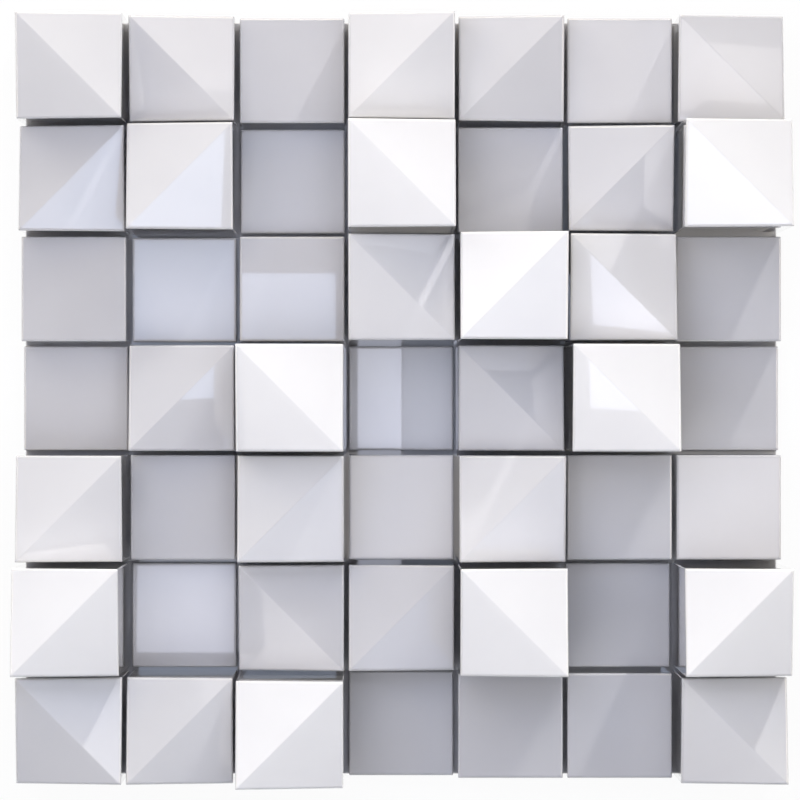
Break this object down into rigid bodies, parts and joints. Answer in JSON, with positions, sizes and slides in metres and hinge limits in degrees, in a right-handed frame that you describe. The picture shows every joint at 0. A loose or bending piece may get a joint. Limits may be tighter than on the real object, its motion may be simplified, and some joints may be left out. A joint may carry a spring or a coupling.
{
  "type": "acoustic scattering panel",
  "caption": "Square gloss-white sound diffuser tile of stepped square blocks, some with tops folded along a diagonal, on one flat back that is bonded to a wall or ceiling.",
  "frame": {"origin": "middle of the flat back face, the face that is bonded to the wall", "axes": "+Z out of the wall, from the back face towards the block tops; +Y up the pattern; +X to the right as seen from the front"},
  "size_m": [0.595, 0.595, 0.15],
  "materials": {
    "gloss_white_moulding": "smooth high-gloss white lacquer on a hard moulded foam skin"
  },
  "bodies": {
    "root": {"scattering_panel": "gloss_white_moulding"}
  },
  "joints": []
}
